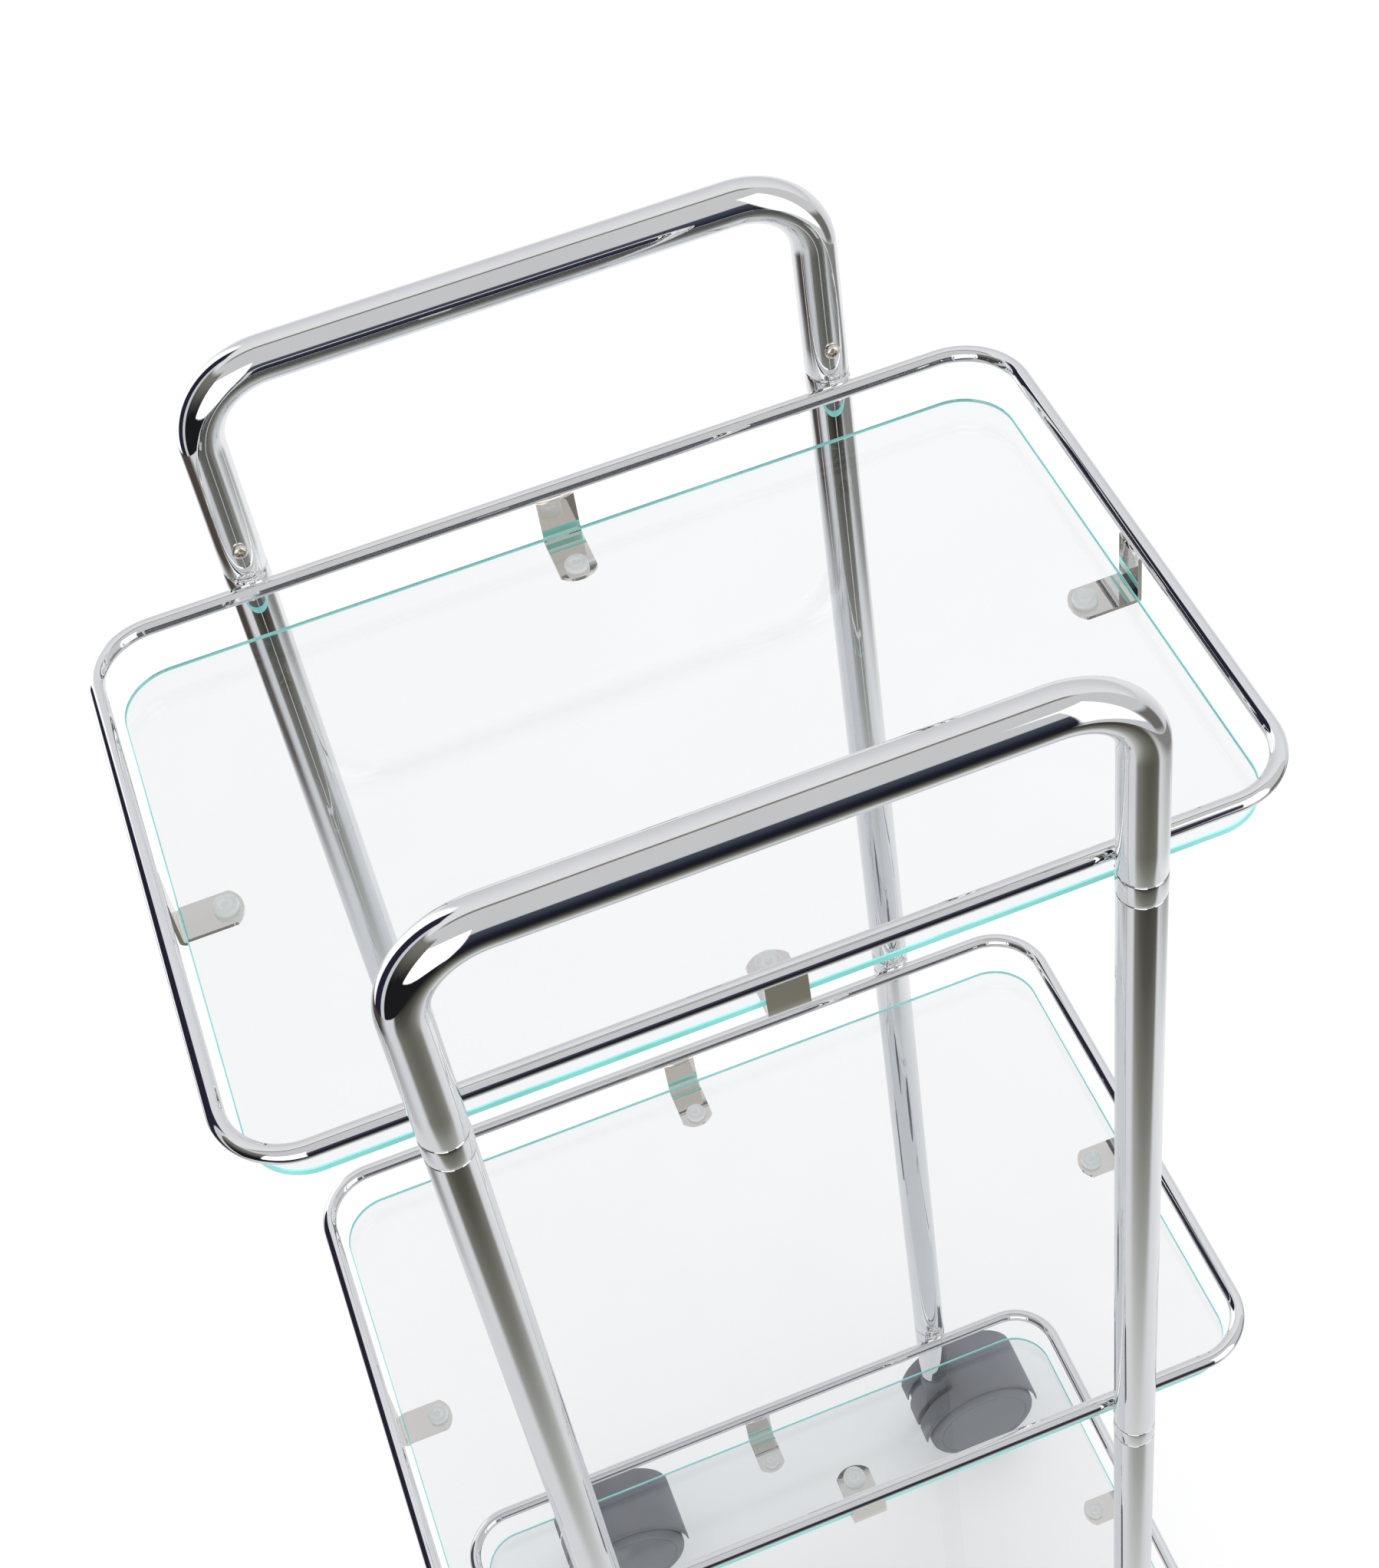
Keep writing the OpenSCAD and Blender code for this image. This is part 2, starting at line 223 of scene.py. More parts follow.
def plastic(name, colour, rough):
    """Moulded nylon: a fine spark-eroded grain, slight shade changes and dusty patches."""
    n = Nodes(name)
    grain = n.noise(0.00045, 3.0, 0.6)
    cloud = n.noise(0.018, 4.0, 0.6)
    dust = n.noise(0.0016, 5.0, 0.7)
    tone = n.ramp(cloud, [(0.28, [c * 0.86 for c in colour]), (0.72, [c * 1.1 for c in colour])])
    specks = n.span(dust, 0.0, 0.22, 0.62, 0.8)
    mix = n.add("ShaderNodeMix", data_type="RGBA")
    n.link(specks, mix.inputs["Factor"])
    n.link(tone, mix.inputs["A"])
    mix.inputs["B"].default_value = (*[c * 1.9 for c in colour], 1)
    n.shader(
        Base_Color=mix.outputs["Result"], Roughness=n.span(cloud, rough, rough + 0.12),
        Normal=n.bump(grain, 0.00004, 0.35), Specular_IOR_Level=0.5,
    )
    return n.material


HOOD_PLASTIC = plastic("grey_nylon_hood", (0.155, 0.162, 0.185), 0.42)
WHEEL_PLASTIC = plastic("grey_nylon_wheel", (0.185, 0.195, 0.215), 0.45)
SOCKET_PLASTIC = plastic("grey_nylon_socket", (0.11, 0.115, 0.125), 0.5)


def glass_face():
    """Clear float glass seen through its faces: nearly colourless, with faint dust and wipe haze."""
    n = Nodes("clear_glass")
    haze = n.noise(0.06, 3.0, 0.6)
    n.shader(
        Base_Color=n.ramp(haze, [(0.3, (0.872, 0.884, 0.892)), (0.7, (0.887, 0.898, 0.905))]),
        Roughness=n.span(haze, 0.0, 0.012, 0.5, 0.8), Transmission_Weight=1.0, IOR=1.45,
        Normal=n.bump(n.noise(0.12, 1.0, 0.3), 0.00003, 0.3),
    )
    return n.material


def glass_edge():
    """The ground and polished edge, where the light that runs inside the pane comes out green. Its glow is
    painted light standing in for that light.
    """
    n = Nodes("green_glass_edge")
    along = n.noise(0.05, 3.0, 0.6)
    fine = n.noise(0.0007, 2.0, 0.6)
    tone = n.ramp(along, [(0.25, (0.16, 0.56, 0.53)), (0.5, (0.26, 0.76, 0.73)), (0.75, (0.40, 0.88, 0.87))])
    n.shader(
        Base_Color=tone, Roughness=n.span(fine, 0.08, 0.2), Transmission_Weight=0.3, IOR=1.45,
        Normal=n.bump(fine, 0.00001, 0.4), Coat_Weight=0.4, Coat_Roughness=0.05,
        # painted glow: the edge gives off its own green light in place of the light carried inside the pane
        Emission_Color=(0.28, 0.78, 0.74, 1), Emission_Strength=0.3,
    )
    return n.material


def silicone():
    """Clear soft silicone: milky, with a slightly tacky, dusty skin, and a faint painted glow that lifts the
    pads out of the shade under the glass.
    """
    n = Nodes("clear_silicone")
    cloud = n.noise(0.006, 2.0, 0.5)
    n.shader(
        Base_Color=n.ramp(cloud, [(0.3, (0.86, 0.88, 0.875)), (0.7, (0.93, 0.945, 0.94))]),
        Roughness=n.span(cloud, 0.12, 0.24), Transmission_Weight=0.15, IOR=1.41,
        # painted light: this glow brightens pads that sit in shade under the glass
        Emission_Color=(0.85, 0.88, 0.88, 1), Emission_Strength=0.24,
        Normal=n.bump(n.noise(0.0015, 2.0, 0.5), 0.00001, 0.3),
    )
    return n.material


GLASS = glass_face()
GLASS_EDGE = glass_edge()
SILICONE = silicone()

# ---------------------------------------------------------------- mesh helpers


def face_outward(data):
    """Turns every face of a closed mesh outward."""
    bm = bmesh.new()
    bm.from_mesh(data)
    bmesh.ops.recalc_face_normals(bm, faces=bm.faces)
    bm.to_mesh(data)
    bm.free()


def in_scene(name, data):
    obj = bpy.data.objects.new(name, data)
    bpy.context.scene.collection.objects.link(obj)
    return obj


def lift_shape(obj):
    """Vertices and faces of an object with its modifiers applied. The object is removed."""
    graph = bpy.context.evaluated_depsgraph_get()
    done = bpy.data.meshes.new_from_object(obj.evaluated_get(graph))
    verts = [v.co.copy() for v in done.vertices]
    faces = [list(p.vertices) for p in done.polygons]
    bpy.data.objects.remove(obj)
    bpy.data.meshes.remove(done)
    return verts, faces


def soft_rims(obj, width):
    """Rounds the sharp rims of a piece a little."""
    bevel = obj.modifiers.new("soft_rim", "BEVEL")
    bevel.width = width
    bevel.segments = 2
    bevel.limit_method = "ANGLE"
    bevel.angle_limit = math.radians(50)
    bevel.harden_normals = False


class Mesh:
    """Collects vertices and faces, then becomes one piece."""

    def __init__(self):
        self.verts, self.faces, self.mats = [], [], []

    def add(self, verts, faces, mat=0, at=None):
        base = len(self.verts)
        at = at or Matrix.Identity(4)
        self.verts += [at @ Vector(v) for v in verts]
        self.faces += [[base + i for i in f] for f in faces]
        self.mats += [mat] * len(faces)

    def piece(self, name, materials, body, replaces=None, slot=None, sharp=40):
        data = bpy.data.meshes.new(name)
        data.from_pydata(self.verts, [], self.faces)
        for m in materials:
            data.materials.append(m)
        data.polygons.foreach_set("material_index", self.mats)
        face_outward(data)
        data.polygons.foreach_set("use_smooth", [True] * len(data.polygons))
        if sharp:
            data.set_sharp_from_angle(angle=math.radians(sharp))
        obj = in_scene(name, data)
        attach(obj, body)
        if replaces:
            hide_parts(replaces)
        return obj


def join_rings(rings, closed=False):
    """Faces between rings of the same count, or between a ring and a single point."""
    verts, starts = [], []
    for ring in rings:
        starts.append((len(verts), len(ring)))
        verts += ring
    pairs = list(zip(starts, starts[1:]))
    if closed:
        pairs.append((starts[-1], starts[0]))
    faces = []
    for (a, na), (b, nb) in pairs:
        count = max(na, nb)
        for i in range(count):
            j = (i + 1) % count
            if na == 1:
                faces.append([a, b + i, b + j])
            elif nb == 1:
                faces.append([a + i, b, a + j])
            else:
                faces.append([a + i, b + i, b + j, a + j])
    return verts, faces


def lathe(profile, sides=96, closed=False):
    """Turns (radius, height) points about Z."""
    rings = []
    for r, z in profile:
        if r < 1e-7:
            rings.append([Vector((0, 0, z))])
        else:
            turn = [2 * math.pi * i / sides for i in range(sides)]
            rings.append([Vector((r * math.cos(a), r * math.sin(a), z)) for a in turn])
    return join_rings(rings, closed)


def sweep(stations, flat_axis, sides=64, closed=False):
    """Rings round a path that stays in one plane. A station is (point, tangent, radius)."""
    rings = []
    for point, tangent, r in stations:
        if r < 1e-7:
            rings.append([point.copy()])
            continue
        side = tangent.cross(flat_axis).normalized()
        turn = [2 * math.pi * i / sides for i in range(sides)]
        rings.append([point + r * (math.cos(a) * side + math.sin(a) * flat_axis) for a in turn])
    return join_rings(rings, closed)


def fillet(r_out, end, inward, size, steps=4):
    """(radius, place) points of a rounded end: from the full radius round to the end face."""
    points = []
    for i in range(steps + 1):
        a = math.pi / 2 * i / steps
        points.append((r_out - size * (1 - math.cos(a)), end + inward * size * (1 - math.sin(a))))
    return points


def tube_profile(z0, z1, r_out, r_in, size=0.5 * MM, depth=5 * MM):
    """A tube section with softly rounded ends, open a little way into each end."""
    bottom = fillet(r_out, z0, 1, size)[::-1]
    top = fillet(r_out, z1, -1, size)
    inner_low = [(0, z0 + depth), (r_in, z0 + depth), (r_in, z0)]
    inner_high = [(r_in, z1), (r_in, z1 - depth), (0, z1 - depth)]
    return inner_low + bottom + top + inner_high


def at(x, y, z=0.0):
    return Matrix.Translation((x, y, z))


# ---------------------------------------------------------------- frame pieces


def make_handle(name, side):
    """An upside-down U whose feet are rounded over where they meet the collars."""
    y = side * LEG_Y
    foot = ROD_Z["top"] + COLLAR_HIGH
    bend_x, bend_z = LEG_X - HANDLE_BEND, BAR_Z - HANDLE_BEND
    up = Vector((0, 0, 1))
    depth = 5 * MM
    steps = 26
    rounded = [(p - foot, r) for r, p in fillet(TUBE_R, foot, 1, 0.7 * MM)[::-1]]
    foot_rings = [(depth, 0.0), (depth, BORE_R), (0.0, BORE_R)] + rounded

    def leg(sign, tangent):
        """Stations up one leg, from inside its foot to just under the bend."""
        x = sign * LEG_X
        rows = [(Vector((x, y, foot + h)), tangent, r) for h, r in foot_rings]
        rise = bend_z - foot
        return rows + [(Vector((x, y, foot + k * rise)), tangent, TUBE_R) for k in (0.25, 0.5, 0.75)]

    def bend(sign, start):
        rows = []
        for i in range(steps + 1):
            a = start - math.pi / 2 * i / steps
            x, z = sign * bend_x + HANDLE_BEND * math.cos(a), bend_z + HANDLE_BEND * math.sin(a)
            rows.append((Vector((x, y, z)), Vector((math.sin(a), 0, -math.cos(a))), TUBE_R))
        return rows

    bar = [(Vector((bend_x * k, y, BAR_Z)), Vector((1, 0, 0)), TUBE_R) for k in (-0.5, 0, 0.5)]
    stations = leg(-1, up) + bend(-1, math.pi) + bar + bend(1, math.pi / 2) + leg(1, -up)[::-1]
    mesh = Mesh()
    mesh.add(*sweep(stations, Vector((0, 1, 0)), 72))
    return mesh.piece(name + "_tube", [CHROME], "frame", name, "chrome")


make_handle("handle_front", -1)
make_handle("handle_back", 1)

for part in ("upper", "lower", "stub"):
    for corner, (sx, sy) in CORNERS.items():
        node = f"leg_{part}_{corner}"
        mesh = Mesh()
        profile = tube_profile(low(node).z, high(node).z, TUBE_R, BORE_R, 0.45 * MM)
        mesh.add(*lathe(profile, 96), at=at(sx * LEG_X, sy * LEG_Y))
        mesh.piece(node + "_tube", [CHROME], "frame", node, "chrome")


def collar_profile():
    """A short, slightly barrel-shaped ring with rounded rims."""
    rim = 0.5 * MM
    fullness = 0.45
    steps = 12
    height = COLLAR_HIGH - COLLAR_LOW
    points = []
    for i in range(steps + 1):
        t = i / steps
        swell = fullness * (COLLAR_R - TUBE_R) * math.sin(math.pi * t) ** 0.6
        points.append((TUBE_R + swell, COLLAR_LOW + rim + (height - 2 * rim) * t))
    lower = fillet(TUBE_R, COLLAR_LOW, 1, rim)[::-1][:-1]
    upper = fillet(TUBE_R, COLLAR_HIGH, -1, rim)[1:]
    return [(BORE_R, COLLAR_LOW)] + lower + points + upper + [(BORE_R, COLLAR_HIGH)]


def rod_stations(z):
    """The closed rounded rectangle that the rod follows."""
    steps = 20
    stations = []
    for quarter in range(4):
        cx = (ROD_X - ROD_CORNER) * (1 if quarter in (0, 3) else -1)
        cy = (ROD_Y - ROD_CORNER) * (1 if quarter < 2 else -1)
        for i in range(steps + 1):
            a = math.pi / 2 * (quarter + i / steps)
            point = Vector((cx + ROD_CORNER * math.cos(a), cy + ROD_CORNER * math.sin(a), z))
            stations.append((point, Vector((-math.sin(a), math.cos(a), 0)), ROD_R))
    return stations


def weld_beads(shelf):
    """Uneven beads in the crevices between the rod and each collar, melted into one skin."""
    rng = random.Random("welds " + shelf)
    bm = bmesh.new()
    z0 = ROD_Z[shelf]
    for sx, sy in CORNERS.values():
        for side in (-1, 1):
            for k in range(7):
                along = side * (0.6 + 0.75 * k + rng.uniform(-0.25, 0.25)) * MM
                depth = math.sqrt(max(COLLAR_R**2 - along**2, 0))
                for up in (1, -1):
                    r = rng.uniform(0.75, 1.35) * MM * (1.0 if k < 5 else 0.75)
                    height = up * rng.uniform(1.5, 2.5) * MM
                    y = LEG_Y - depth - rng.uniform(0.2, 0.7) * MM
                    place = at(sx * LEG_X + along, sy * y, z0 + height)
                    bmesh.ops.create_icosphere(bm, subdivisions=2, radius=r, matrix=place)
    data = bpy.data.meshes.new("bead_mould")
    bm.to_mesh(data)
    bm.free()
    mould = in_scene("bead_mould", data)
    remesh = mould.modifiers.new("melt", "REMESH")
    remesh.mode = "VOXEL"
    remesh.voxel_size = 0.32 * MM
    soften = mould.modifiers.new("soften", "SMOOTH")
    soften.factor = 0.5
    soften.iterations = 2
    return lift_shape(mould)


for shelf in SHELVES:
    z = ROD_Z[shelf]
    mesh = Mesh()
    mesh.add(*sweep(rod_stations(z), Vector((0, 0, 1)), 48, closed=True))
    mesh.piece(f"rod_{shelf}_loop", [ROD_CHROME], "frame", "rod_" + shelf, "chrome", sharp=None)
    mesh = Mesh()
    for sx, sy in CORNERS.values():
        mesh.add(*lathe(collar_profile(), 96, closed=True), at=at(sx * LEG_X, sy * LEG_Y, z))
    mesh.piece(f"collars_{shelf}_rings", [CHROME], "frame", "collars_" + shelf, "chrome", sharp=50)
    mesh = Mesh()
    mesh.add(*weld_beads(shelf))
    mesh.piece(f"welds_{shelf}_beads", [WELD_CHROME], "frame", "welds_" + shelf, "chrome", sharp=None)

# ---------------------------------------------------------------- clips, pads and panes


def side_places():
    """Matrices for the middle of each shelf side: local +Y is outward, the plate's inner face is y = 0."""
    places = []
    for turn, reach in ((0, PLATE_Y), (90, PLATE_X), (180, PLATE_Y), (270, PLATE_X)):
        places.append(Matrix.Rotation(math.radians(turn), 4, "Z") @ at(0, reach))
    return places


def clip_strip():
    """One bent strip as a grid: down the plate, round the bend and along the foot to its round end.
    The plate's top edge dips in the middle, where it meets the rod."""
    half = CLIP_W / 2
    bend_in = 1.2 * MM
    bend = bend_in + CLIP_T / 2
    middle = CLIP_T / 2
    top = -ROD_R + 0.9 * MM
    low_mid = CLIP_LOW + CLIP_T / 2
    plate_len = top - (low_mid + bend)
    arc_len = bend * math.pi / 2
    foot_len = CLIP_FOOT - CLIP_T / 2 - bend
    end_r = CLIP_W * 0.62

    def place(u):
        """Point and outward normal of the strip's middle line at length u from the plate's top."""
        if u < plate_len:
            return (middle, top - u), (1, 0)
        if u < plate_len + arc_len:
            a = (u - plate_len) / bend
            y = middle - bend * (1 - math.cos(a))
            return (y, low_mid + bend * (1 - math.sin(a))), (math.cos(a), -math.sin(a))
        return (middle - bend - (u - plate_len - arc_len), low_mid), (0, -1)

    total = plate_len + arc_len + foot_len
    lengths = [plate_len * k / 6 for k in range(6)]
    lengths += [plate_len + arc_len * k / 8 for k in range(8)]
    flat_end = total - end_r * (1 - math.cos(math.asin(half / end_r)))
    lengths += [plate_len + arc_len + (flat_end - plate_len - arc_len) * k / 6 for k in range(7)]
    end_span = total - flat_end
    lengths += [flat_end + end_span * math.sin(math.pi / 2 * k / 8) for k in range(1, 8)]
    columns = 14
    dip, dip_reach = 1.1 * MM, 3 * MM
    grid = []
    for u in lengths:
        wide = half
        if u > flat_end:
            back = end_r - (total - u)
            wide = math.sqrt(max(end_r**2 - back**2, 0))
        row = []
        for c in range(columns + 1):
            v = -wide + 2 * wide * c / columns
            lift = dip * (1 - (v / half) ** 2) * max(0.0, 1 - u / dip_reach)
            (y, z), (ny, nz) = place(u)
            row.append((Vector((v, y, z - lift)), Vector((0, ny, nz))))
        grid.append(row)
    verts, faces = [], []
    for sign in (1, -1):
        for row in grid:
            verts += [p + n * (sign * CLIP_T / 2) for p, n in row]
    rows, cols = len(grid), columns + 1

    def at_grid(layer, r, c):
        return layer * rows * cols + r * cols + c

    for r in range(rows - 1):
        for c in range(cols - 1):
            cell = [(r, c), (r, c + 1), (r + 1, c + 1), (r + 1, c)]
            faces.append([at_grid(0, i, j) for i, j in cell])
            faces.append([at_grid(1, i, j) for i, j in (cell[0], cell[3], cell[2], cell[1])])
    rim = [(0, c) for c in range(cols)] + [(r, cols - 1) for r in range(1, rows)]
    rim += [(rows - 1, c) for c in range(cols - 2, -1, -1)] + [(r, 0) for r in range(rows - 2, 0, -1)]
    for (r0, c0), (r1, c1) in zip(rim, rim[1:] + rim[:1]):
        faces.append([at_grid(0, r0, c0), at_grid(1, r0, c0), at_grid(1, r1, c1), at_grid(0, r1, c1)])
    return verts, faces


def pad_profile():
    """A round bumper with a rolled rim, a ring groove and a nipple that was the moulding point."""
    h = PAD_HIGH - PAD_LOW
    r = PAD_R
    side = [(0, 0), (0.93, 0), (1.0, 0.07), (1.0, 0.5), (0.97, 0.78), (0.9, 0.94), (0.8, 1.0), (0.68, 1.0)]
    groove = [(0.6, 0.95), (0.55, 0.84), (0.52, 0.74), (0.46, 0.7), (0.4, 0.74)]
    nipple = [(0.36, 0.83), (0.3, 0.92), (0.2, 0.95), (0, 0.93)]
    return [(a * r, b * h) for a, b in side + groove + nipple]


def pane_mesh():
    """A pane with round corners and polished chamfers: its rim, then its two large faces."""
    chamfer = 0.35 * MM
    steps = 20

    def outline(inset, z):
        ring = []
        r = GLASS_CORNER - inset
        for quarter in range(4):
            cx = (GLASS_X - GLASS_CORNER) * (1 if quarter in (0, 3) else -1)
            cy = (GLASS_Y - GLASS_CORNER) * (1 if quarter < 2 else -1)
            for i in range(steps + 1):
                a = math.pi / 2 * (quarter + i / steps)
                ring.append(Vector((cx + r * math.cos(a), cy + r * math.sin(a), z)))
        return ring

    rings = [
        outline(chamfer, GLASS_LOW), outline(0, GLASS_LOW + chamfer),
        outline(0, GLASS_HIGH - chamfer), outline(chamfer, GLASS_HIGH),
    ]
    verts, rim = join_rings(rings)
    n = len(rings[0])
    return verts, rim, [list(range(n))[::-1], list(range(3 * n, 4 * n))]


for shelf in SHELVES:
    z = ROD_Z[shelf]
    clips, pads, pane = Mesh(), Mesh(), Mesh()
    for place in side_places():
        clips.add(*clip_strip(), at=at(0, 0, z) @ place)
        pads.add(*lathe(pad_profile(), 64), at=at(0, 0, z + PAD_LOW) @ place @ at(0, -PAD_INSET))
    node = "clips_" + shelf
    piece = clips.piece(node + "_strips", [CLIP_CHROME], "frame", node, "clip_chrome", sharp=45)
    soft_rims(piece, 0.22 * MM)
    pads.piece(f"pads_{shelf}_bumpers", [SILICONE], "frame", "pads_" + shelf, "silicone", sharp=60)
    verts, rim, caps = pane_mesh()
    pane.add(verts, rim, 1, at(0, 0, z))
    pane.faces += caps
    pane.mats += [0, 0]
    node = "glass_" + shelf
    pane.piece(node + "_pane", [GLASS, GLASS_EDGE], "pane_" + shelf, node, "glass", sharp=20)


def screw_mesh():
    """A pan head with a cross recess, on a short plain shank. +Z points out of the head."""
    head, rise, edge = SCREW_R, 1.9 * MM, 0.8 * MM
    shank, shank_end, seat = 1.45 * MM, -5 * MM, 0.1 * MM
    dome = [(0, shank_end), (shank, shank_end), (shank, seat), (head - 0.15 * MM, seat)]
    dome += [(head, 0.3 * MM), (head, edge)]
    for i in range(1, 9):
        a = math.pi / 2 * i / 8
        dome.append((head * (0.42 + 0.58 * math.cos(a)), edge + (rise - edge) * math.sin(a)))
    dome.append((0, rise))
    body = Mesh()
    body.add(*lathe(dome, 64))

    cutter = Mesh()
    long, narrow, taper = 1.55 * MM, 0.36 * MM, 0.62
    signs = ((-1, -1), (1, -1), (1, 1), (-1, 1))
    corners = [Vector((sx * long, sy * narrow, rise + 0.3 * MM)) for sx, sy in signs]
    corners += [Vector((sx * long * taper, sy * narrow * 0.8, rise - 1.1 * MM)) for sx, sy in signs]
    faces = [[0, 1, 2, 3], [7, 6, 5, 4], [0, 4, 5, 1], [1, 5, 6, 2], [2, 6, 7, 3], [3, 7, 4, 0]]
    for turn in (0, 90):
        cutter.add(corners, faces, at=Matrix.Rotation(math.radians(turn), 4, "Z"))
    objects = []
    for part in (body, cutter):
        data = bpy.data.meshes.new("screw_part")
        data.from_pydata(part.verts, [], part.faces)
        face_outward(data)
        objects.append(in_scene("screw_part", data))
    cut = objects[0].modifiers.new("recess", "BOOLEAN")
    cut.operation = "DIFFERENCE"
    cut.solver = "EXACT"
    cut.use_self = True
    cut.object = objects[1]
    shape = lift_shape(objects[0])
    bpy.data.objects.remove(objects[1])
    return shape


SCREW_TURNS = (17, 52, 31, 68)
screws = Mesh()
screw = screw_mesh()
for (sx, sy), turn in zip(CORNERS.values(), SCREW_TURNS):
    spin = Matrix.Rotation(math.radians(turn), 4, "Z")
    aim = Matrix.Rotation(math.radians(90 * sy), 4, "X")
    screws.add(*screw, at=at(sx * LEG_X, sy * (LEG_Y - TUBE_R), SCREW_Z) @ aim @ spin)
screws.piece("handle_screws_heads", [SCREW_STEEL], "frame", "handle_screws", "screws", sharp=35)

# ---------------------------------------------------------------- casters


WEB_HALF = 6 * MM
BOSS_R = 8 * MM
# where the shell's slot for the stem begins, in degrees up from the side away from the stem
SLOT_FROM = math.degrees(math.acos((BOSS_R - 1 * MM - AXLE_X) / HOOD_R))


def hood_mesh():
    """The shell over the wheels as a grid round the axle, thinner towards its lower ends.
    Local origin at the axle, +X away from the stem."""
    wall, thin_end, thin_reach = 1.8 * MM, 0.42, 26
    slot_half = 9.5 * MM
    rim = 0.5 * MM
    whole, split = 30, 18
    angles = [SLOT_FROM * k / whole for k in range(whole + 1)]
    angles += [SLOT_FROM + (180 - SLOT_FROM) * k / split for k in range(1, split + 1)]
    rows = [-HOOD_W, -HOOD_W + rim, -HOOD_W + 2 * MM, -14 * MM, -slot_half, -5 * MM, 0.0]
    rows += [-y for y in rows[-2::-1]]

    def point(a, y, layer):
        near_end = min(1, min(a, 180 - a) / thin_reach)
        if layer:
            r = HOOD_R - wall * (thin_end + (1 - thin_end) * near_end)
        else:
            r = HOOD_R - 0.35 * MM * max(0.0, abs(y) - (HOOD_W - rim)) / rim
        t = math.radians(a)
        return Vector((r * math.cos(t), y, r * math.sin(t)))

    index, verts = {}, []
    for layer in (0, 1):
        for i, a in enumerate(angles):
            for j, y in enumerate(rows):
                index[layer, i, j] = len(verts)
                verts.append(point(a, y, layer))
    cells = set()
    for i in range(len(angles) - 1):
        for j in range(len(rows) - 1):
            in_slot = i >= whole and abs(rows[j] + rows[j + 1]) / 2 < slot_half
            if not in_slot:
                cells.add((i, j))
    faces = []
    for i, j in cells:
        quad = [(i, j), (i, j + 1), (i + 1, j + 1), (i + 1, j)]
        faces.append([index[0, a, b] for a, b in quad])
        faces.append([index[1, a, b] for a, b in quad[::-1]])
        for (a, b), (c, d), other in (
            (quad[0], quad[1], (i - 1, j)), (quad[1], quad[2], (i, j + 1)),
            (quad[2], quad[3], (i + 1, j)), (quad[3], quad[0], (i, j - 1)),
        ):
            if other not in cells:
                faces.append([index[0, a, b], index[1, a, b], index[1, c, d], index[0, c, d]])
    used = sorted({k for f in faces for k in f})
    remap = {k: n for n, k in enumerate(used)}
    return [verts[k] for k in used], [[remap[k] for k in f] for f in faces]


def web_mesh():
    """The web between the wheels. It follows the shell from inside, drops in front of the axle,
    and behind the stem it comes out flush with the shell."""
    soft = 0.5 * MM
    low_front = -17
    steps = 32
    outline = []
    for k in range(steps + 1):
        a = low_front + (180 - low_front) * k / steps
        r = HOOD_R if a > SLOT_FROM else HOOD_R - 1.75 * MM
        outline.append((r * math.cos(math.radians(a)), r * math.sin(math.radians(a))))
    outline += [(-HOOD_R, -3.4 * MM), (-AXLE_X - 5 * MM, -3.9 * MM)]
    outline += [(-12 * MM, -10 * MM), (12 * MM, -10 * MM)]

    def ring(y, inset):
        rows = []
        for x, z in outline:
            p = Vector((x, y, z))
            rows.append(p + (Vector((0, y, 8 * MM)) - p).normalized() * inset)
        return rows

    rings = [ring(-WEB_HALF, soft), ring(-WEB_HALF + soft, 0), ring(WEB_HALF - soft, 0), ring(WEB_HALF, soft)]
    verts, faces = join_rings(rings)
    n = len(outline)
    return verts, faces + [list(range(n))[::-1], list(range(3 * n, 4 * n))]


def boss_profile():
    """The stem's boss: a column as thick as the web with a wider head, open at the top for the stem."""
    start = 20 * MM
    head_low = WHEEL_R + 0.4 * MM
    top = BOSS_TOP - AXLE_Z
    stem_r, open_to = 4 * MM, top - 4 * MM
    neck = [(0, start), (5.6 * MM, start), (WEB_HALF, start + 0.4 * MM), (WEB_HALF, head_low - 1.2 * MM)]
    flare = [(6.5 * MM, head_low - 0.4 * MM), (7.6 * MM, head_low), (BOSS_R, head_low + 0.5 * MM)]
    return neck + flare + fillet(BOSS_R, top, -1, 0.8 * MM) + [(stem_r, top), (stem_r, open_to), (0, open_to)]


def wheel_profile():
    """A slightly crowned tread, a round shoulder and a plain domed face with a fine ring line."""
    wide = WHEEL_OUT - WHEEL_IN
    r = WHEEL_R
    inner = [(0, 0), (r - 9 * MM, 0), (r - 8 * MM, 0.6 * MM), (r - 2.2 * MM, 0.6 * MM), (r - 1.4 * MM, 0)]
    inner += [(r - 0.9 * MM, 0.05 * MM), (r - 0.35 * MM, 0.5 * MM), (r - 0.12 * MM, 1.2 * MM)]
    shoulder, shoulder_at, fall = 3.4 * MM, wide - 4.2 * MM, 0.1 * MM
    tread = [(r, wide * 0.35), (r - 0.02 * MM, wide * 0.6), (r - fall, shoulder_at)]
    for i in range(1, 11):
        a = math.pi / 2 * i / 10
        turned = shoulder * (1 - math.cos(a))
        tread.append((r - fall - turned, shoulder_at + (shoulder + fall) * math.sin(a)))
    ring = r - 5.6 * MM
    face = wide - 0.7 * MM
    groove = [(ring + 0.9 * MM, face), (ring + 0.3 * MM, face - 0.1 * MM), (ring, face - 0.45 * MM)]
    groove += [(ring - 0.3 * MM, face - 0.1 * MM)]
    dome = []
    for i in range(1, 10):
        t = i / 9
        bulge = 0.68 * MM * math.sin(math.pi / 2 * t)
        dome.append(((ring - 0.3 * MM) * (1 - t), face - 0.02 * MM + bulge))
    return inner + tread + groove + dome


